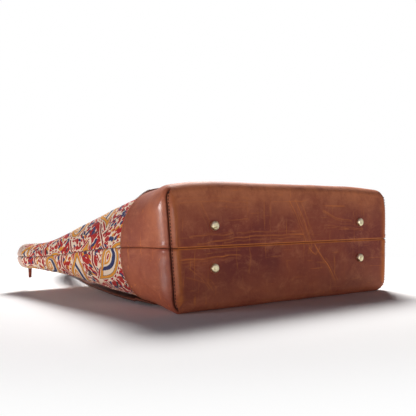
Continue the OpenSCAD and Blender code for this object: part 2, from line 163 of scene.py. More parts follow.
def grid_faces(index):
    """Quads of a grid of vertex numbers, facing out of the bag's back."""
    corners = [index[:-1, :-1], index[1:, :-1], index[1:, 1:], index[:-1, 1:]]
    return np.stack(corners, axis=-1).reshape(-1, 4)


def normals_of(verts, faces):
    a, b, c, d = (verts[faces[:, k]] for k in range(4))
    across = np.cross(c - a, d - b)
    total = np.zeros_like(verts)
    for k in range(4):
        np.add.at(total, faces[:, k], across)
    return total / np.maximum(np.linalg.norm(total, axis=1, keepdims=True), 1e-12)


def edged(verts, faces, thickness):
    """A skin whose free edges are turned in by its thickness."""
    count = len(verts)
    starts = faces.ravel()
    ends = np.roll(faces, -1, axis=1).ravel()
    free = ~np.isin(starts * count + ends, ends * count + starts)
    rim, where = np.unique(np.concatenate([starts[free], ends[free]]), return_inverse=True)
    a, b = where.reshape(2, -1)
    inner = verts[rim] - normals_of(verts, faces)[rim] * thickness
    turned = np.stack([rim[b], rim[a], a + count, b + count], axis=1)
    return np.concatenate([verts, inner]), np.concatenate([faces, turned]), rim


def make_object(name, verts, faces, material, body="bag", replaces=None):
    mesh = bpy.data.meshes.new(name)
    mesh.from_pydata(verts.tolist(), [], faces.tolist())
    mesh.polygons.foreach_set("use_smooth", np.ones(len(mesh.polygons), bool))
    mesh.materials.append(material)
    mesh.update()
    piece = bpy.data.objects.new(name, mesh)
    bpy.context.scene.collection.objects.link(piece)
    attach(piece, body)
    if replaces:
        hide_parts(replaces)
    return piece


def set_attribute(piece, name, values):
    layer = piece.data.attributes.new(name, "FLOAT", "POINT")
    layer.data.foreach_set("value", values.astype(np.float32))


def set_uv(piece, uv):
    corners = np.zeros(len(piece.data.loops), np.int32)
    piece.data.loops.foreach_get("vertex_index", corners)
    layer = piece.data.uv_layers.new(name="UVMap")
    layer.uv.foreach_set("vector", uv[corners].astype(np.float32).ravel())


def make_skin(name, verts, faces, thickness, material, node, values):
    """An edged skin that stands for a node, with a named value at each vertex for its material."""
    verts, faces, rim = edged(verts, faces, thickness)
    piece = make_object(name, verts, faces, material, replaces=node)
    for key, value in values.items():
        set_attribute(piece, key, np.concatenate([value, value[rim]]))
    return piece, rim


def ripple(u, v, seed, wave, count=7):
    """Soft unevenness between -1 and 1: waves about that long, in directions from a fixed seed."""
    rng = np.random.default_rng(seed)
    total = np.zeros_like(u)
    for _ in range(count):
        angle, phase = rng.uniform(0, 2 * np.pi, 2)
        k = 2 * np.pi / (wave * rng.uniform(0.7, 1.5))
        total += np.sin(k * (u * np.cos(angle) + v * np.sin(angle)) + phase)
    return total / count


def seam_puff(d, puff, reach):
    """Swollen edges on both sides of a seam, at a distance d from it."""
    return puff * bell(np.abs(d), 0.6 * reach, reach)


def seam_profile(d, depth, width, puff, reach):
    """A sewn valley between swollen edges."""
    return seam_puff(d, puff, reach) - depth * bell(d, width)


def line_distance(x, z, points):
    """Distance of points in the base plane from a line through the given points."""
    best = np.full(x.shape, 1.0)
    for (x0, z0), (x1, z1) in zip(points, points[1:]):
        dx, dz = x1 - x0, z1 - z0
        t = np.clip(((x - x0) * dx + (z - z0) * dz) / (dx * dx + dz * dz), 0, 1)
        best = np.minimum(best, np.hypot(x - x0 - t * dx, z - z0 - t * dz))
    return best


# Stitches

def along_path(path, normals, pitch):
    """Centres, directions and normals of stitches at that pitch along a line of points."""
    steps = np.linalg.norm(np.diff(path, axis=0), axis=1)
    length = np.concatenate([[0], np.cumsum(steps)])
    places = np.arange(pitch / 2, length[-1] - pitch / 3, pitch)

    def at(rows, where):
        return np.stack([np.interp(where, length, rows[:, k]) for k in range(3)], axis=1)

    direction = at(path, places + pitch * 0.2) - at(path, places - pitch * 0.2)
    direction /= np.linalg.norm(direction, axis=1, keepdims=True)
    return at(path, places), direction, at(normals, places)


STITCH_SIDES, STITCH_RINGS = 6, 5
STITCH_SUNK, STITCH_DIP, STITCH_TAPER = 0.2, 1.4, 0.75
# Two quads close the first ring of a stitch, and the same ones turned over its last ring
STITCH_CAP = np.array([[0, 5, 4, 3], [3, 2, 1, 0]])


def stitch_row(name, rows, pitch, length, radius, material):
    """One mesh of small thread bows along several lines. Their ends dip in, and the floor stops them."""
    ring = np.arange(STITCH_SIDES)
    after = (ring + 1) % STITCH_SIDES
    turn = 2 * np.pi * ring / STITCH_SIDES
    verts, faces = [], []
    for path, normals in rows:
        for centre, direction, up in zip(*along_path(path, normals, pitch)):
            out = np.cross(direction, up)
            first = len(verts) * STITCH_RINGS * STITCH_SIDES
            rings = []
            for t in np.linspace(-1, 1, STITCH_RINGS):
                fat = radius * math.sqrt(1 - STITCH_TAPER * t * t)
                lift = radius * (1 - STITCH_SUNK - STITCH_DIP * t * t)
                mid = centre + direction * t * length / 2 + up * lift
                rings.append(mid + fat * (np.outer(np.cos(turn), out) + np.outer(np.sin(turn), up)))
            verts.append(np.concatenate(rings))
            for k in range(STITCH_RINGS - 1):
                low = first + k * STITCH_SIDES
                high = low + STITCH_SIDES
                faces.append(np.stack([low + ring, low + after, high + after, high + ring], axis=1))
            last = first + (STITCH_RINGS - 1) * STITCH_SIDES
            faces.append(np.concatenate([first + STITCH_CAP, last + STITCH_CAP[::-1, ::-1]]))
    verts = np.concatenate(verts)
    verts[:, 2] = np.maximum(verts[:, 2], 0)
    make_object(name, verts, np.concatenate(faces), material)


# Materials

def linear(*rgb):
    """A colour written in 0 to 255 display values, as the shaders take it."""
    shares = [v / 255 for v in rgb]
    return tuple(v / 12.92 if v <= 0.04045 else ((v + 0.055) / 1.055) ** 2.4 for v in shares) + (1,)


class Graph:
    """A material's nodes, built from short calls that return sockets."""

    def __init__(self, name):
        self.material = bpy.data.materials.new(name)
        self.material.use_nodes = True
        self.tree = self.material.node_tree
        self.shader = self.tree.nodes["Principled BSDF"]

    def node(self, kind, inputs=None, **settings):
        made = self.tree.nodes.new("ShaderNode" + kind)
        for key, value in settings.items():
            setattr(made, key, value)
        for key, value in (inputs or {}).items():
            self.set(made.inputs[key], value)
        return made

    def set(self, socket, value):
        if isinstance(value, bpy.types.NodeSocket):
            self.tree.links.new(value, socket)
        else:
            socket.default_value = value

    def math(self, operation, a, b=0.0, clamp=False):
        return self.node("Math", {0: a, 1: b}, operation=operation, use_clamp=clamp).outputs[0]

    def ease(self, value, low, high, start=0.0, end=1.0):
        """From start to end as the value goes from low to high, smoothly."""
        inputs = {"Value": value, "From Min": low, "From Max": high, "To Min": start, "To Max": end}
        return self.node("MapRange", inputs, interpolation_type="SMOOTHSTEP").outputs[0]

    def mix(self, share, a, b):
        made = self.node("Mix", data_type="RGBA")
        for key, value in ((0, share), (6, a), (7, b)):
            self.set(made.inputs[key], value)
        return made.outputs[2]

    def noise(self, vector, scale, detail=3.0, rough=0.5, distortion=0.0):
        inputs = {"Vector": vector, "Scale": scale, "Detail": detail, "Roughness": rough,
                  "Distortion": distortion}
        return self.node("TexNoise", inputs).outputs[0]

    def voronoi(self, vector, scale, randomness=1.0, **settings):
        inputs = {"Vector": vector, "Scale": scale, "Randomness": randomness}
        return self.node("TexVoronoi", inputs, **settings)

    def wave(self, vector, scale, distortion, direction):
        inputs = {"Vector": vector, "Scale": scale, "Distortion": distortion}
        return self.node("TexWave", inputs, bands_direction=direction).outputs[1]

    def attribute(self, name):
        return self.node("Attribute", attribute_name=name).outputs["Fac"]

    def place(self):
        return self.node("TexCoord").outputs["Object"]

    def scaled(self, vector, scale):
        return self.node("VectorMath", {0: vector, 1: scale}, operation="MULTIPLY").outputs[0]

    def bump(self, height, strength, distance, normal=None):
        inputs = {"Height": height, "Strength": strength, "Distance": distance}
        if normal is not None:
            inputs["Normal"] = normal
        return self.node("Bump", inputs).outputs[0]

    def finish(self, **inputs):
        for key, value in inputs.items():
            self.set(self.shader.inputs[key.replace("_", " ")], value)
        return self.material


def leather_material(name, dark, mid, light, crease, seam, rough):
    """Waxed pull-up leather: darker in the flat, paler where bent (partly painted highlight), creased, finely
    grained.
    """
    g = Graph(name)
    place = g.place()
    clouds = g.noise(place, 14.0, 5.0, 0.6, 0.4)
    colour = g.mix(g.ease(clouds, 0.36, 0.66), dark, mid)
    mottle = g.noise(g.scaled(place, (70.0, 70.0, 42.0)), 1.0, 8.0, 0.75)
    colour = g.mix(g.ease(mottle, 0.42, 0.70, 0.0, 0.5), colour, dark)
    rubbed = g.noise(g.scaled(place, (34.0, 40.0, 52.0)), 1.0, 10.0, 0.72, 0.5)
    colour = g.mix(g.ease(rubbed, 0.48, 0.74, 0.0, 0.55), colour, light)
    specks = g.noise(g.scaled(place, (150.0, 150.0, 230.0)), 1.0, 4.0, 0.65)
    colour = g.mix(g.ease(specks, 0.50, 0.80, 0.0, 0.2), colour, light)
    # Paleness from the edge value, broken up: pull-up paleness at bends, and painted highlight on the upper
    # edge and the base's left end
    edge_breakup = g.ease(g.noise(place, 34.0, 8.0, 0.75), 0.28, 0.62, 0.34, 1.0)
    colour = g.mix(g.math("MULTIPLY", g.attribute("edge"), edge_breakup), colour, light)
    broken = g.ease(g.noise(place, 120.0, 4.0, 0.7), 0.3, 0.6, 0.7, 1.0)
    colour = g.mix(g.math("MULTIPLY", g.attribute("crease"), broken, clamp=True), colour, crease)
    for stretch in ((300.0, 300.0, 24.0), (22.0, 240.0, 280.0)):
        scratch = g.noise(g.scaled(place, stretch), 1.0, 2.0, 0.5, 0.6)
        colour = g.mix(g.ease(scratch, 0.64, 0.76, 0.0, 0.3), colour, crease)
    colour = g.mix(g.attribute("seam"), colour, seam)
    grain = g.voronoi(place, 900.0).outputs["Distance"]
    pores = g.noise(place, 420.0, 3.0, 0.6)
    normal = g.bump(g.math("ADD", grain, pores), 0.22, 0.0004)
    normal = g.bump(g.noise(place, 70.0, 5.0, 0.6), 0.3, 0.0010, normal)
    patchy = g.ease(g.noise(place, 75.0, 5.0, 0.65), 0.38, 0.62, 0.45, 1.0)
    return g.finish(Base_Color=colour, Roughness=g.ease(clouds, 0.3, 0.7, rough, rough + 0.1), Normal=normal,
                    Specular_IOR_Level=0.18, Coat_Weight=g.math("MULTIPLY", g.attribute("gloss"), patchy),
                    Coat_Roughness=0.25, Coat_IOR=1.8)


def cloth_material(name):
    """Block-printed cotton: curled teardrops in mustard and navy, with red leaf strokes and vines between."""
    cream, red, deep_red = linear(236, 217, 192), linear(178, 24, 24), linear(140, 22, 24)
    navy, mustard, ink = linear(36, 48, 96), linear(222, 148, 44), linear(70, 56, 58)
    g = Graph(name)
    flat = g.node("UVMap", uv_map="UVMap").outputs[0]
    wobble = g.node("TexNoise", {"Vector": flat, "Scale": 1.1, "Detail": 2.0}).outputs["Color"]
    wobble = g.node("VectorMath", {0: wobble, 1: (0.5, 0.5, 0.5)}, operation="SUBTRACT").outputs[0]
    cm = g.node("VectorMath", {0: wobble, 1: (0.5, 0.5, 0.0), 2: flat}, operation="MULTIPLY_ADD").outputs[0]
    uneven = g.math("MULTIPLY", g.math("SUBTRACT", g.noise(flat, 2.6, 2.0), 0.5), 1.6)

    # Leaf strokes on cream: stretched cells, each holding one leaf in its own colour, leaning two ways
    layers = []
    for angle in (0.7, -0.8):
        lean = g.node("VectorRotate", {"Vector": cm, "Angle": angle}, rotation_type="Z_AXIS").outputs[0]
        leaves = g.voronoi(g.scaled(lean, (2.0, 1.0, 1.0)), 1.5, 0.9, voronoi_dimensions="2D")
        hue = g.node("SeparateColor", {0: leaves.outputs["Color"]}).outputs[0]
        leaf = g.mix(g.math("GREATER_THAN", hue, 0.72), red, navy)
        leaf = g.mix(g.math("GREATER_THAN", hue, 0.88), leaf, mustard)
        leaf = g.mix(g.math("GREATER_THAN", hue, 0.95), leaf, ink)
        fullness = g.ease(g.noise(cm, 0.32, 1.0), 0.40, 0.60, 0.46, 0.64)
        layers.append(g.mix(g.math("LESS_THAN", leaves.outputs["Distance"], fullness), cream, leaf))
    colour = g.mix(g.math("GREATER_THAN", g.noise(cm, 0.22, 1.0), 0.5), *layers)
    vine = g.math("ADD", g.attribute("vine"), uneven)
    for limit, paint in ((2.8, cream), (1.4, deep_red)):
        colour = g.mix(g.math("LESS_THAN", vine, limit), colour, paint)

    # Teardrops, drawn as bands from their outline inwards
    motif, moon, core = (g.math("ADD", g.attribute(name), uneven) for name in ("motif", "moon", "core"))
    petals = g.math("ADD", motif, g.math("MULTIPLY", g.attribute("petal"), -1.6))
    bands = ((motif, 4.6, cream), (petals, 2.6, red), (motif, 1.4, cream), (motif, 0.5, ink),
             (motif, 0.0, mustard), (motif, -3.2, ink), (motif, -3.7, cream),
             (moon, 0.0, navy), (core, -2.2, mustard), (core, -4.4, cream), (core, -5.6, red))
    for distance, limit, paint in bands:
        colour = g.mix(g.math("LESS_THAN", distance, limit), colour, paint)

    # The hem shows pale stripes along the rim
    height = g.node("SeparateXYZ", {0: flat}).outputs[1]
    stripe = g.math("SINE", g.math("MULTIPLY", height, 21.0))
    stripes = g.mix(g.ease(stripe, 0.1, 0.6, 0.0, 0.55), linear(224, 200, 184), linear(176, 110, 104))
    colour = g.mix(g.attribute("hem"), colour, stripes)
    colour = g.mix(g.attribute("seam"), colour, linear(70, 44, 36))
    faded = g.ease(g.noise(flat, 6.0, 5.0, 0.7), 0.40, 0.80, 0.0, 0.12)
    colour = g.mix(faded, colour, cream)
    weave = g.math("ADD", g.wave(flat, 5.5, 0.4, "X"), g.wave(flat, 5.5, 0.4, "Y"))
    normal = g.bump(weave, 0.3, 0.0004)
    return g.finish(Base_Color=colour, Roughness=0.85, Normal=normal, Specular_IOR_Level=0.2,
                    Sheen_Weight=0.05, Sheen_Roughness=0.5)


def brass_material():
    """Antique brass, hammered a little, with darker and paler patches."""
    g = Graph("antique_brass")
    place = g.place()
    stain = g.noise(place, 260.0, 4.0, 0.6)
    colour = g.mix(g.ease(stain, 0.30, 0.55), linear(176, 156, 108), linear(238, 228, 186))
    dents = g.voronoi(place, 420.0).outputs["Distance"]
    normal = g.bump(dents, 0.15, 0.0006)
    rough = g.ease(stain, 0.3, 0.7, 0.46, 0.34)
    return g.finish(Base_Color=colour, Metallic=1.0, Roughness=rough, Normal=normal)


def plain_weave(name, colour, pale, scale):
    g = Graph(name)
    place = g.place()
    weave = g.math("MULTIPLY", g.wave(place, scale, 0.6, "X"), g.wave(place, scale, 0.6, "Z"))
    share = g.math("ADD", g.math("MULTIPLY", weave, 0.5), g.noise(place, 90.0), clamp=True)
    shade = g.mix(share, colour, pale)
    return g.finish(Base_Color=shade, Roughness=0.9, Normal=g.bump(weave, 0.4, 0.0003), Sheen_Weight=0.1)


def thread_material(name, colour, pale):
    g = Graph(name)
    twist = g.wave(g.place(), 700.0, 1.0, "DIAGONAL")
    return g.finish(Base_Color=g.mix(twist, colour, pale), Roughness=0.7,
                    Normal=g.bump(twist, 0.5, 0.0002), Specular_IOR_Level=0.3)


def board_material():
    g = Graph("fibre_board")
    fibres = g.noise(g.scaled(g.place(), (400.0, 400.0, 60.0)), 1.0, 4.0)
    return g.finish(Base_Color=g.mix(fibres, linear(150, 124, 90), linear(186, 160, 122)), Roughness=0.85,
                    Normal=g.bump(fibres, 0.2, 0.0003))


LEATHER = leather_material("waxed_leather", linear(124, 56, 47), linear(155, 80, 58), linear(206, 128, 88),
                           linear(232, 138, 62), linear(56, 26, 16), rough=0.52)
STRAP_LEATHER = leather_material("strap_leather", linear(78, 38, 27), linear(94, 48, 34), linear(128, 74, 52),
                                 linear(130, 72, 40), linear(44, 22, 14), rough=0.62)
PRINT = cloth_material("block_print")
BRASS = brass_material()
DARK_THREAD = thread_material("dark_thread", linear(44, 24, 18), linear(74, 44, 32))
TAN_THREAD = thread_material("tan_thread", linear(120, 74, 48), linear(168, 116, 78))
PALE_THREAD = thread_material("pale_thread", linear(196, 172, 146), linear(226, 208, 184))


# Leather halves: half the base with its seam, the fold, and the wall up to the cloth

# Creases across the base as lines of (x, z from its middle) in mm, with a strength each
CREASES = [
    (0.9, [(-140, 3), (-114, 6), (-81, 9), (-59, 10), (-5, 10), (17, 10)]),
    (0.5, [(-104, 4), (-70, 6), (-30, 6.5), (12, 7)]),
    (0.5, [(-150, 11), (-125, 13), (-106, 12), (-92, 14)]),
    (0.9, [(-165, -11), (-134, -12), (-110, -10.5), (-83, -10)]),
    (0.4, [(-166, -14), (-140, -14.5), (-122, -14)]),
    (0.5, [(-68, -4), (-66, -12), (-67, -19), (-69, -30)]),
    (0.7, [(4, 51), (12, 38), (20, 24), (27, 8), (32, -1), (28, -9)]),
    (0.6, [(-5, 50), (6, 32), (14, 17), (22, 0)]),
    (0.45, [(14, 49), (20, 38), (28, 20), (34, 6)]),
    (1.0, [(27, -6), (33, -13), (39, -16), (45, -8)]),
    (1.0, [(37, -3), (44, -13), (51, -20), (58, -28), (64, -36), (74, -49)]),
    (0.5, [(51, 39), (73, 29), (88, 27), (104, 25)]),
    (0.4, [(-157, -29), (-142, -34), (-128, -38), (-120, -46)]),
    (0.4, [(-154, -20), (-138, -31), (-126, -44)]),
    (0.35, [(-134, 46), (-125, 28), (-120, 13)]),
    (0.35, [(60, 20), (90, 17), (125, 14)]),
    (0.35, [(-166, 46), (-120, 48), (-70, 47)]),
]
CREASE_W, CREASE_DEPTH = 0.0006, 0.0003
FEET_X, FEET_Z = 0.1185, 0.023
# How far the left end of the base leans for each metre of height, and where along x and y that fades
LEAN_LEFT, LEAN_X, LEAN_Y = 0.085, (0.10, 0.168), (0.015, 0.07)
# How far the long edges roll over on to the base, and where along the height and y that fades
ROLL_IN, ROLL_W, ROLL_POWER = {FRONT: 0.002, BACK: 0.0036}, 0.036, 2.2
ROLL_H, ROLL_Y, ROLL_END = (0.03, 0.045), (0.01, 0.06), 0.05
# The swell of the back, and how far up the walls the settling reaches
SWELL, SWELL_X, SWELL_W = 0.0026, -0.115, 0.06
SETTLE_Y = (0.02, 0.066)
# The corner seams: their valley, the swollen edges on the wall and on the base, and where these end
SEAM_DEPTH, SEAM_W = 0.0028, 0.0010
WALL_PUFF, WALL_PUFF_AT = 0.0018, 0.0115
BASE_PUFF, BASE_PUFF_AT = 0.0016, 0.0050
PUFF_TOP, PUFF_FADE, SEAM_FADE = 0.058, 0.040, (0.055, 0.062)
# The other seams: depth and width of the valley, height of its swollen edges and their distance from it
BASE_SEAM, SIDE_SEAM = (0.0003, 0.0005, 0.0001, 0.0026), (0.0010, 0.0009, 0.0006, 0.0036)
CLOTH_SEAM = (0.0010, 0.0010, 0.0005, 0.0035)
# A raised ring of leather around each foot
FOOT_RING_R, FOOT_RING_W, FOOT_RING_H = 0.0095, 0.0032, 0.0003
# The leather's lowest points rest just above the floor
FLOOR_GAP = 0.0002
# Points lower than this belong to the flat of the base
ON_BASE = 1e-6
# How pale the base's long edges are: pull-up paleness at the fold, with painted highlight on the upper, back
# edge
EDGE_PALENESS = {FRONT: 0.45, BACK: 0.95}


def leather_skin():
    """The skin of one half in bag points, with its quads, its wall's vertex numbers and its seam rows.

    A seam row holds a point's distance from the corner seam, and how much of that seam there is beside it.
    """
    turn = np.linspace(0, np.pi / 2, FOLD_ROWS + 1)
    wall_y = np.linspace(BASE_FOLD, LEATHER_H, WALL_ROWS + 1)[1:]
    levels = np.concatenate([BASE_FOLD * (1 - np.cos(turn)), wall_y])
    depths = np.concatenate([BASE_FOLD * (1 - np.sin(turn)), np.zeros(WALL_ROWS)])
    fold_end = BASE_FOLD * np.pi / 4
    from_seam = np.concatenate([BASE_FOLD * (turn - np.pi / 4), fold_end + wall_y - BASE_FOLD])
    rings = [half_ring(y / BAG_H, off, LEATHER_STEPS) for y, off in zip(levels, depths)]
    columns = len(rings[0][0])
    wall = np.array([np.stack([x, np.full(columns, y), h], axis=1) for (x, h), y in zip(rings, levels)])
    beside = np.tile(side_mask(LEATHER_STEPS), len(levels))
    wall_rows = np.stack([np.repeat(from_seam, columns), beside], axis=1)

    side = LEATHER_STEPS[0]
    x, h = (row[side:-side] for row in rings[0])
    share = np.linspace(0, 1, side + 1)[:, None]
    plate = np.stack([x + 0 * share, 0 * x + 0 * share, h * share], axis=-1)
    inset = (half_w(0) - BASE_FOLD) - np.abs(plate[..., 0])
    beside = 1 - smooth_step(plate[..., 2], *SEAM_FADE)
    plate_rows = np.stack([-fold_end - inset, beside], axis=-1).reshape(-1, 2)

    points = np.concatenate([wall.reshape(-1, 3), plate.reshape(-1, 3)])
    rows = np.concatenate([wall_rows, plate_rows])
    keys = np.round(points * 1e7).astype(np.int64)
    _, first, back = np.unique(keys, axis=0, return_index=True, return_inverse=True)
    back = back.ravel()
    cells = wall[..., 0].size
    wall_index = back[:cells].reshape(wall.shape[:2])
    plate_index = back[cells:].reshape(plate.shape[:2])
    faces = np.concatenate([grid_faces(wall_index), grid_faces(plate_index)])
    return points[first], faces, wall_index, rows[first]


def crease_lines():
    """Each crease with thinner companions beside it, as (strength, points in metres)."""
    rng = np.random.default_rng(4)
    for strength, line in CREASES:
        line = np.array(line) / 1000
        yield strength, line
        run = line[-1] - line[0]
        aside = np.array([-run[1], run[0]]) / np.linalg.norm(run)
        for _ in range(3):
            first = rng.integers(0, len(line) - 1)
            shift = aside * rng.uniform(-0.006, 0.006) + run * rng.uniform(-0.08, 0.08)
            yield strength * rng.uniform(0.25, 0.6), line[first:] + shift


def base_creases(x, z):
    """Strength of the creases at points of the base, which wander a little and fade in and out."""
    wander_x = x + 0.0012 * ripple(x, z, 31, 0.022)
    wander_z = z + 0.0012 * ripple(x, z, 32, 0.022)
    total = np.zeros_like(x)
    for k, (strength, line) in enumerate(crease_lines()):
        near = bell(line_distance(wander_x, wander_z, line), CREASE_W)
        fade = 0.65 + 0.6 * ripple(x, z, 40 + k, 0.03)
        total = np.maximum(total, strength * near * np.clip(fade, 0.15, 1))
    return total


def settled(points, side):
    """The front lies flat on the floor out to its corners. The back swells and rolls over on to the base."""
    x, y, h = points.T
    top = wall_height(x, 0, 0)
    low = 1 - smooth_step(y, *SETTLE_Y)
    if side == FRONT:
        rise_h = FACE_BULGE * np.abs(x / half_w(0)) ** FLAT_MIDDLE
    else:
        rise_h = SWELL * bell(x, SWELL_W, SWELL_X)
    inner = np.clip(1 - (top - h) / ROLL_W, 0, 1) ** ROLL_POWER
    ends = 0.4 + 0.6 * smooth_step(half_w(0) - np.abs(x), 0.0, ROLL_END)
    roll = ROLL_IN[side] * inner * ends * smooth_step(h, *ROLL_H) * (1 - smooth_step(y, *ROLL_Y))
    return np.stack([x, y + roll, h * (1 + rise_h * low / top)], axis=1)


def lean_left(verts):
    """Let the left end of the base lean over, as the soft bag settles on the floor."""
    x, y, z = verts.T
    share = smooth_step(-x, *LEAN_X) * (1 - smooth_step(y - BASE_Y, *LEAN_Y))
    return np.stack([x - LEAN_LEFT * (z - REST_Z) * share, y, z], axis=1)


def leather_push(side, points, seam_rows, swollen, crease):
    """How far each point is pushed out by seams, swollen edges, feet and softness, and in by creases."""
    x, y, h = points.T
    from_seam, near_side = seam_rows.T
    on_base = y < ON_BASE
    puff = np.where(from_seam > 0, seam_puff(from_seam, WALL_PUFF, WALL_PUFF_AT),
                    seam_puff(from_seam, BASE_PUFF, BASE_PUFF_AT))
    push = swollen * puff - near_side * SEAM_DEPTH * bell(from_seam, SEAM_W)
    push += np.where(on_base, seam_profile(h, *BASE_SEAM), near_side * seam_profile(h, *SIDE_SEAM))
    push -= CREASE_DEPTH * crease
    from_foot = np.hypot(np.abs(x) - FEET_X, h - FEET_Z)
    push += FOOT_RING_H * on_base * bell(from_foot, FOOT_RING_W, FOOT_RING_R)
    free = smooth_step(LEATHER_H - y, 0.0, 0.02) * smooth_step(h, 0.0, 0.012)
    soft = 0.0006 * ripple(x + h, y + 0.7 * h, 5 + side, 0.06) + 0.0001 * ripple(x, y + h, 7 + side, 0.017)
    return push + free * soft


def leather_values(side, points, seam_rows, swollen, crease):
    """The values that the leather's material reads at each point: crease, seam, edge wear and painted light,
    and gloss.
    """
    x, y, h = points.T
    from_seam, near_side = seam_rows.T
    on_base = y < ON_BASE
    corner_line = bell(from_seam, 0.0009) * near_side
    middle_line = np.where(on_base, 0.3, 0.85 * near_side) * bell(h, 0.0004)
    worn_seam = 0.7 * on_base * bell(h, 0.0006, 0.0010)
    worn_corner = (0.5 if side == FRONT else 0.25) * near_side * bell(from_seam, 0.004, -0.007)
    fold_edge = wall_height(x, 0, BASE_FOLD) + BASE_FOLD * np.pi / 4
    from_edge = np.where(on_base, fold_edge - h, 0.7 * y)
    # Paler near the fold: the leather's pull-up paleness, and on the upper, back edge painted highlight
    bend = bell(from_edge, 0.028) * (1 - 0.6 * near_side * bell(from_seam, 0.02))
    # Painted highlight on the upper left end of the base, where the light falls
    painted_end_light = 0.3 * on_base * smooth_step(-x, 0.09, 0.16) * smooth_step(side * h, 0.0, 0.03)
    # The walls are a little paler than the base
    paler_walls = 0.28 * smooth_step(y, 0.0, 0.02)
    polish = np.where(from_seam > 0, bell(from_seam, 0.0050, 0.008), 0.5 * bell(from_seam, 0.0022, -0.004))
    return {
        "crease": np.maximum.reduce([crease, worn_seam, worn_corner]),
        "seam": np.clip(np.maximum(corner_line, middle_line), 0, 1),
        "edge": np.maximum.reduce([EDGE_PALENESS[side] * bend, painted_end_light, paler_walls]),
        "gloss": np.clip(swollen, 0, 1) * polish,
    }


def leather_half(side, node):
    """One half of the leather. Returns its vertices, normals and wall's vertex numbers for the stitches."""
    points, faces, wall_index, seam_rows = leather_skin()
    x, y, h = points.T
    from_seam, near_side = seam_rows.T
    pillow = 0.5 + 0.5 * np.sin(np.pi * np.clip(h / PUFF_TOP, 0, 1))
    pillow += 0.07 * ripple(h, from_seam, 11 + side, 0.024)
    swollen = near_side * pillow * (1 - smooth_step(h, PUFF_FADE, PUFF_TOP))
    crease = base_creases(x, side * h) * (y < ON_BASE)
    push = leather_push(side, points, seam_rows, swollen, crease)
    lying = settled(points, side)
    verts = lean_left(to_frame(lying + normals_of(lying, faces) * push[:, None], side))
    verts[:, 2] = np.maximum(verts[:, 2], FLOOR_GAP)
    values = leather_values(side, points, seam_rows, swollen, crease)
    faces = faces if side == BACK else faces[:, ::-1]
    make_skin(node + "_panel", verts, faces, LEATHER_T, LEATHER, node, values)
    return verts, normals_of(verts, faces), wall_index


# Cloth halves: from under the leather to the rim, with a sewn hem and a printed repeat

MOTIF_PITCH_U, MOTIF_PITCH_V, MOTIF_SIZE = 0.058, 0.062, 0.0268
MOTIF_COLUMNS, MOTIF_ROWS = range(-6, 7), range(-1, 5)
# The print's unit is a centimetre, and each half takes its noise from another place
PRINT_UNIT, PRINT_PLACE = 0.01, {FRONT: (-20.0, 10.0), BACK: (100.0, 10.0)}


def teardrop(size, centre=(0.0, 0.0), bend=0.5):
    """Outline of a curled teardrop, one unit from its middle to its tip before it is sized and moved."""
    t = np.linspace(0, 2 * np.pi, 49)[:-1]
    y = np.cos(t)
    x = 0.66 * np.sin(t) * np.sin(t / 2) ** 1.2 + bend * np.clip(y, 0, 1) ** 2
    return size * np.stack([x, y], axis=1) + np.array(centre)


def outline_distance(p, outline):
    """Distance of points from a closed outline, below 0 inside it."""
    best = np.full(len(p), np.inf)
    inside = np.zeros(len(p), bool)
    for a, b in zip(outline, np.roll(outline, -1, axis=0)):
        run = b - a
        t = np.clip(((p - a) @ run) / (run @ run), 0, 1)
        best = np.minimum(best, np.linalg.norm(p - a - t[:, None] * run, axis=1))
        crosses = (a[1] > p[:, 1]) != (b[1] > p[:, 1])
        rise_y = run[1] if run[1] else 1e-12
        inside ^= crosses & (p[:, 0] < a[0] + run[0] * (p[:, 1] - a[1]) / rise_y)
    return np.where(inside, -best, best)


def print_values(u, v, seed):
    """Distances in mm from the print's outlines, at points across and up the cloth."""
    rng = np.random.default_rng(seed)
    shift_u, shift_v = rng.uniform(0, 1, 2)
    centres, turns, sizes, flips = [], [], [], []
    for i in MOTIF_COLUMNS:
        for j in MOTIF_ROWS:
            jitter_u, jitter_v = rng.uniform(-0.08, 0.08, 2)
            centres.append(((i + shift_u + jitter_u) * MOTIF_PITCH_U,
                            LEATHER_H + (j + shift_v + 0.5 * (i % 2) + jitter_v) * MOTIF_PITCH_V))
            turns.append(0.5 + 1.9 * (i % 2) + np.pi * (j % 2) + rng.uniform(-0.35, 0.35))
            sizes.append(MOTIF_SIZE * rng.uniform(0.88, 1.1))
            flips.append(1 if (i + j) % 3 else -1)
    centres = np.array(centres)
    place = np.stack([u, v], axis=1)
    reach = np.linalg.norm(place[:, None] - centres, axis=2) / np.array(sizes)
    nearest = np.argsort(reach, axis=1)[:, :3]
    found = {key: np.full(len(u), np.inf) for key in ("motif", "moon", "core", "petal")}
    for k, (turn, size, flip) in enumerate(zip(turns, sizes, flips)):
        mine = np.where((nearest == k).any(axis=1))[0]
        if not len(mine):
            continue
        turned = np.array([[np.cos(turn), np.sin(turn)], [-np.sin(turn), np.cos(turn)]])
        local = (place[mine] - centres[k]) / size @ turned * np.array([flip, 1])
        motif = outline_distance(local, teardrop(1.0)) * size * 1000
        better = motif < found["motif"][mine]
        rows = mine[better]
        outer = outline_distance(local[better], teardrop(0.62, (0.02, -0.20))) * size * 1000
        core = outline_distance(local[better], teardrop(0.50, (0.15, -0.22))) * size * 1000
        found["motif"][rows] = motif[better]
        found["moon"][rows] = np.maximum(outer, -core)
        found["core"][rows] = core
        found["petal"][rows] = np.sin(15 * np.arctan2(local[better, 0], local[better, 1] + 0.3))
    row = v / MOTIF_PITCH_V + 0.20 * np.sin(2 * np.pi * u / (2.3 * MOTIF_PITCH_U) + seed)
    found["vine"] = np.abs(row - np.round(row)) * MOTIF_PITCH_V * 1000
    return found


def cloth_grid(levels, hem):
    """The cloth of one half in bag points, row by row, thicker at its hem."""
    rings = [half_ring(y / BAG_H, CLOTH_OFF - HEM_T * out, CLOTH_STEPS) for y, out in zip(levels, hem)]
    return np.array([np.stack([x, np.full(len(x), y), h], axis=1) for (x, h), y in zip(rings, levels)])


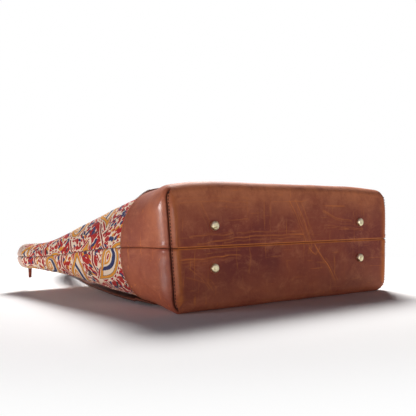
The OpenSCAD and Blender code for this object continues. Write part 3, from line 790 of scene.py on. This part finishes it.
def cloth_half(side, node):
    """One half of the cloth. Returns its vertices, normals and vertex numbers for the stitches."""
    hem_y = BAG_H - HEM_W
    levels = np.concatenate([np.linspace(LEATHER_H - LAP, hem_y - 0.001, CLOTH_ROWS + 1),
                             np.linspace(hem_y, BAG_H, HEM_ROWS + 1)])
    grid = cloth_grid(levels, smooth_step(levels, hem_y - 0.0006, hem_y + 0.0004))
    columns = grid.shape[1]
    index = np.arange(grid[..., 0].size).reshape(grid.shape[:2])
    faces = grid_faces(index)
    step = np.linalg.norm(np.diff(grid, axis=1), axis=2)
    across = np.concatenate([np.zeros((len(levels), 1)), np.cumsum(step, axis=1)], axis=1)
    across = (across - across[:, -1:] / 2).ravel()

    points = grid.reshape(-1, 3)
    x, y, h = points.T
    near_side = np.tile(side_mask(CLOTH_STEPS), len(levels))
    free = smooth_step(y, LEATHER_H, LEATHER_H + 0.03) * smooth_step(BAG_H - y, HEM_W, 0.05)
    free *= smooth_step(h, 0.0, 0.01)
    push = near_side * seam_profile(h, *CLOTH_SEAM)
    push += free * 0.0012 * ripple(1.6 * x, y + 0.8 * h, 11 + side, 0.085)
    push += free * near_side * 0.0007 * ripple(2.5 * h, y, 17 + side, 0.035)
    push -= 0.0006 * smooth_step(y, BAG_H - 0.0015, BAG_H)
    verts = to_frame(points + normals_of(points, faces) * push[:, None], side)
    faces = faces if side == BACK else faces[:, ::-1]

    values = print_values(across, y, 2 + side)
    values["hem"] = np.repeat(smooth_step(levels, hem_y - 0.001, hem_y), columns)
    values["seam"] = 0.8 * near_side * bell(h, 0.0004)
    piece, rim = make_skin(node + "_panel", verts, faces, CLOTH_T, PRINT, node, values)
    uv = np.stack([across, y], axis=1) / PRINT_UNIT + np.array(PRINT_PLACE[side])
    set_uv(piece, np.concatenate([uv, uv[rim]]))
    return verts, normals_of(verts, faces), index


# Handles: straps sewn to both faces, with their free loops

STRAP_FOOT = LEATHER_H - STRAP_LAP
STRAP_X0 = BASE_W / 2 - STRAP_INSET - STRAP_W / 2
STRAP_X1 = STRAP_SPACING / 2
STRAP_LEAN = math.atan2(STRAP_X0 - STRAP_X1, BAG_H - STRAP_FOOT)
STRAP_ALONG = np.array([-math.sin(STRAP_LEAN), math.cos(STRAP_LEAN)])
STRAP_ACROSS = np.array([math.cos(STRAP_LEAN), math.sin(STRAP_LEAN)])


def strap_centre(y, side):
    """Middle of a strap. The front one, which lies on the floor, bows out a little from under the bag."""
    bow = FRONT_BOW * (1 - smooth_step(y, *BOW_FADE)) if side == FRONT else 0.0
    share = (y - STRAP_FOOT) / (BAG_H - STRAP_FOOT)
    return np.array([STRAP_X0 + bow + (STRAP_X1 - STRAP_X0) * share, y])


def strap_off(y):
    """Depth of the strap's underside: over the leather first, then down on to the cloth."""
    down = np.clip((y - LEATHER_H - STRAP_STEP_AT) / STRAP_STEP_DOWN, 0, 1)
    return -SEWN_GAP + (CLOTH_OFF - HEM_T - SEWN_GAP) * down


def strap_thick(y):
    """A strap thins out towards its sewn end."""
    return STRAP_END_T + (STRAP_T - STRAP_END_T) * np.clip((y - STRAP_FOOT) / STRAP_SKIVE, 0, 1)


def on_face(x, y, off, side):
    s = min(y / BAG_H, 1)
    return np.array([x, y + BASE_Y, mid_z(s) + side * wall_height(x, s, off)])


def strap_section():
    """The strap's section, once round: shares of its half width and of its thickness, with soft edges."""
    t = np.sin(np.linspace(-1, 1, 15) * np.pi / 2)
    ease = 0.34 * np.clip((np.abs(t) - 0.86) / 0.14, 0, 1) ** 2
    under = np.stack([t[::-1], ease[::-1]], axis=1)
    over = np.stack([t, 1 - ease], axis=1)
    return np.concatenate([under, over])


def sewn_ring(y, side, half=STRAP_W / 2):
    centre, off = strap_centre(y, side), strap_off(y)
    ring = []
    for t, depth in strap_section():
        x, level = centre + STRAP_ACROSS * half * t
        ring.append(on_face(x, level, off - strap_thick(y) * depth, side))
    return np.array(ring)


def bezier(p, q):
    """Point and direction at a share q of the cubic curve with four control points."""
    point = (1 - q) ** 3 * p[0] + 3 * (1 - q) ** 2 * q * p[1] + 3 * (1 - q) * q * q * p[2] + q ** 3 * p[3]
    run = 3 * (1 - q) ** 2 * (p[1] - p[0]) + 6 * (1 - q) * q * (p[2] - p[1]) + 3 * q * q * (p[3] - p[2])
    return point, run / np.linalg.norm(run)


def loop_rest(q, side):
    """Height and turn of a loop that rests on the floor, or on the other loop, and turns on to its edge."""
    begin = FRONT_FLAT if side == FRONT else 0
    turned = max(q - begin, 0) / (1 - begin)
    turn = np.pi / 2 * turned * turned * (3 - 2 * turned)
    lift = math.hypot(STRAP_W, STRAP_T) + HANDLE_PLAY if side == BACK else 0
    return STRAP_W / 2 * math.sin(turn) + STRAP_T / 2 * math.cos(turn) + lift, turn


def loop_ring(q, side, from_y):
    """Section of a handle's free loop, a share q of the way from the bag to the loop's middle."""
    start = strap_centre(from_y, side)
    end = BAG_H + HANDLE_REACH
    leave = start + STRAP_ALONG * 0.4 * (end - from_y)
    centre, along = bezier([start, leave, np.array([HANDLE_END_W / 2, end]), np.array([0, end])], q)
    height, turn = loop_rest(q, side)
    fall = (1 - q) ** 6 if side == FRONT else (1 - q) ** 4 * (1 + 4 * q)
    start_z = on_face(*start, strap_off(from_y) - STRAP_T / 2, side)[2]
    z = height + (start_z - loop_rest(0, side)[0]) * fall
    out, up = np.array([along[1], -along[0], 0]), np.array([0, 0, 1])
    wide = (out * math.cos(turn) + up * math.sin(turn)) * STRAP_W / 2
    thick = (up * math.cos(turn) - out * math.sin(turn)) * side * STRAP_T / 2
    mid = np.array([centre[0], centre[1] + BASE_Y, z])
    section = strap_section()
    return mid + section[:, :1] * wide + (2 * section[:, 1:] - 1) * thick


def handle(side, name):
    """A strap with two sewn ends, the same left and right, and a row of stitches along each edge."""
    from_y = LEATHER_H + STRAP_HOLD if side == FRONT else BAG_H
    tips = [(STRAP_FOOT + STRAP_W / 2 * (1 - math.cos(a)), STRAP_W / 2 * math.sin(a))
            for a in np.radians([8, 18, 30, 42, 55, 68, 80])]
    rings = [sewn_ring(y, side, half) for y, half in tips]
    first_y = STRAP_FOOT + STRAP_W / 2
    sewn_steps = math.ceil((from_y - first_y) / STRAP_STEP) + 1
    rings += [sewn_ring(y, side) for y in np.linspace(first_y, from_y, sewn_steps)]
    loop_steps = math.ceil((BAG_H + HANDLE_REACH - from_y) / STRAP_STEP)
    rings += [loop_ring(q, side, from_y) for q in np.linspace(0, 1, loop_steps + 1)[1:]]
    right = np.array(rings)
    left = right[-2::-1] * np.array([-1, 1, 1])
    rings = np.concatenate([right, left])
    verts = rings.reshape(-1, 3)

    index = np.arange(len(verts)).reshape(rings.shape[:2])
    n = rings.shape[1]
    half = n // 2
    caps = []
    for base, order in ((index[0], 1), (index[-1], -1)):
        for k in range(half - 1):
            caps.append([base[k], base[k + 1], base[n - 2 - k], base[n - 1 - k]][::order])
    faces = np.concatenate([grid_faces(np.concatenate([index, index[:, :1]], axis=1)), np.array(caps)])
    if side == BACK:
        faces = faces[:, ::-1]
    piece = make_object(name, verts, faces, STRAP_LEATHER,
                        replaces=name.replace("_strap", "_handle"))
    edge = np.clip((np.abs(strap_section()[:, 0]) - 0.8) / 0.2, 0, 1)
    set_attribute(piece, "edge", 0.4 * np.tile(edge, len(rings)))
    for key in ("crease", "seam", "gloss"):
        set_attribute(piece, key, np.zeros(len(verts)))
    normals = normals_of(verts, faces).reshape(rings.shape)
    rows = [(rings[5:-5, column], normals[5:-5, column]) for column in (half + 2, n - 3)]
    stitch_row(name + "_stitches", rows, pitch=0.004, length=0.0028, radius=0.00035, material=DARK_THREAD)


# Seams and stitching on the walls

def rows_at(parts, row):
    return [(verts[index[row]], normals[index[row]]) for verts, normals, index in parts]


leather = [leather_half(FRONT, "front_leather"), leather_half(BACK, "back_leather")]
cloth = [cloth_half(FRONT, "front_cloth"), cloth_half(BACK, "back_cloth")]
handle(FRONT, "front_strap")
handle(BACK, "back_strap")

edge_row, hem_row, corner_row = -3, CLOTH_ROWS + 2, FOLD_ROWS // 2 - 3
stitch_row("leather_edge_stitches", rows_at(leather, edge_row),
           pitch=0.0034, length=0.0024, radius=0.0003, material=TAN_THREAD)
stitch_row("hem_stitches", rows_at(cloth, hem_row),
           pitch=0.0032, length=0.0022, radius=0.00028, material=PALE_THREAD)
corner_rows = []
side_columns = LEATHER_STEPS[0] + LEATHER_STEPS[1] * 3 // 4
for verts, normals, index in leather:
    row = index[corner_row]
    for columns in (row[:side_columns], row[-side_columns:]):
        corner_rows.append((verts[columns], normals[columns]))
stitch_row("corner_seam_stitches", corner_rows,
           pitch=0.0036, length=0.0026, radius=0.0005, material=DARK_THREAD)

# Pieces of the model that keep their shapes
FINISHES = {
    "lining": plain_weave("lining_cotton", linear(176, 154, 116), linear(206, 186, 150), 700.0),
    "front_zip_tape": plain_weave("zip_tape", linear(64, 44, 34), linear(96, 72, 58), 900.0),
    "base_board": board_material(),
    "pull_strip": LEATHER,
}
FINISHES["back_zip_tape"] = FINISHES["front_zip_tape"]
for node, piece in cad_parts.items():
    piece.data.materials.clear()
    piece.data.materials.append(FINISHES.get(node, BRASS))


# Floor, backdrop, light and camera

VIEW_YAW = math.radians(37.0)
VIEW_PITCH = math.radians(0.35)
CAMERA_PLACE = Vector((-0.5585, -0.573 + BASE_Y, 0.1165))
CAMERA_LENS = 57.8


def backdrop():
    """A floor that rises behind the bag in one sweep, and shows white away from the bag."""
    depth, sweep, height, half, front = 1.1, 1.2, 4.0, 4.0, -2.6
    turn = np.linspace(0, np.pi / 2, 25)
    profile = [(front, 0.0)] + [(depth + sweep * math.sin(a), sweep * (1 - math.cos(a))) for a in turn]
    profile.append((depth + sweep, height))
    along = Vector((math.sin(VIEW_YAW), math.cos(VIEW_YAW), 0))
    across = Vector((along.y, -along.x, 0))
    verts = [across * x + along * d + Vector((0, 0, z)) for d, z in profile for x in (-half, half)]
    faces = [(2 * k, 2 * k + 1, 2 * k + 3, 2 * k + 2) for k in range(len(profile) - 1)]
    mesh = bpy.data.meshes.new("backdrop")
    mesh.from_pydata(verts, [], faces)
    mesh.polygons.foreach_set("use_smooth", np.ones(len(mesh.polygons), bool))
    g = Graph("backdrop_paper")
    level = g.node("SeparateXYZ", {0: g.place()}).outputs[2]
    rays = g.node("LightPath").outputs
    seen = g.math("MAXIMUM", rays["Is Camera Ray"], rays["Is Glossy Ray"])
    seen = g.math("MAXIMUM", seen, rays["Is Transmission Ray"])
    white = g.node("Emission", {"Color": (1, 1, 1, 1), "Strength": 1.0}).outputs[0]
    away = g.node("VectorMath", {0: g.place()}, operation="LENGTH").outputs["Value"]
    far = g.math("MAXIMUM", g.ease(level, 0.0, 0.25), g.ease(away, 0.42, 0.66))
    share = g.math("MULTIPLY", seen, far)
    blend = g.node("MixShader", {0: share, 1: g.shader.outputs[0], 2: white})
    g.tree.links.new(blend.outputs[0], g.tree.nodes["Material Output"].inputs[0])
    mesh.materials.append(g.finish(Base_Color=linear(244, 242, 240), Roughness=0.9, Specular_IOR_Level=0.1))
    piece = bpy.data.objects.new("backdrop", mesh)
    bpy.context.scene.collection.objects.link(piece)


def area_light(name, place, target, size, watts, colour=(1, 1, 1)):
    light = bpy.data.lights.new(name, "AREA")
    light.shape = "RECTANGLE"
    light.size, light.size_y = size
    light.energy = watts
    light.color = colour
    lamp = bpy.data.objects.new(name, light)
    lamp.location = place
    lamp.rotation_mode = "QUATERNION"
    lamp.rotation_quaternion = (Vector(target) - Vector(place)).to_track_quat("-Z", "Y")
    bpy.context.scene.collection.objects.link(lamp)


backdrop()
area_light("key", (0.72, 0.76, 1.45), (0.0, -0.1, 0.0), (0.66, 0.62), 55)
area_light("left", (-1.35, -0.05, 0.10), (-0.15, -0.1, 0.07), (0.6, 0.18), 4.0, (1.0, 0.95, 0.88))
area_light("strip", (-1.35, 0.05, 0.28), (-0.17, -0.2, 0.07), (0.2, 0.6), 2.6, (0.82, 0.77, 1.0))
area_light("near_left", (-1.2, -1.5, 0.14), (-0.15, -0.2, 0.07), (0.3, 0.24), 1.0, (0.84, 0.80, 1.0))
area_light("front", (-0.5, -2.1, 0.12), (-0.1, -0.2, 0.08), (1.8, 0.16), 7.0, (0.98, 0.93, 1.0))

world = bpy.data.worlds.new("studio")
world.use_nodes = True
room = world.node_tree.nodes["Background"]
room.inputs[0].default_value = (0.86, 0.76, 1.0, 1)
# The room is dim, and shows brighter in reflections
path = world.node_tree.nodes.new("ShaderNodeLightPath")
level = world.node_tree.nodes.new("ShaderNodeMapRange")
level.inputs["To Min"].default_value, level.inputs["To Max"].default_value = 0.018, 0.35
world.node_tree.links.new(path.outputs["Is Glossy Ray"], level.inputs["Value"])
world.node_tree.links.new(level.outputs[0], room.inputs[1])
bpy.context.scene.world = world
bpy.context.scene.view_settings.view_transform = "Standard"

camera_data = bpy.data.cameras.new("camera")
camera_data.lens = CAMERA_LENS
camera_data.sensor_width = 36.0
camera = bpy.data.objects.new("camera", camera_data)
camera.location = CAMERA_PLACE
forward = Vector((math.sin(VIEW_YAW) * math.cos(VIEW_PITCH), math.cos(VIEW_YAW) * math.cos(VIEW_PITCH),
                  -math.sin(VIEW_PITCH)))
camera.rotation_mode = "QUATERNION"
camera.rotation_quaternion = forward.to_track_quat("-Z", "Y")
bpy.context.scene.collection.objects.link(camera)
bpy.context.scene.camera = camera
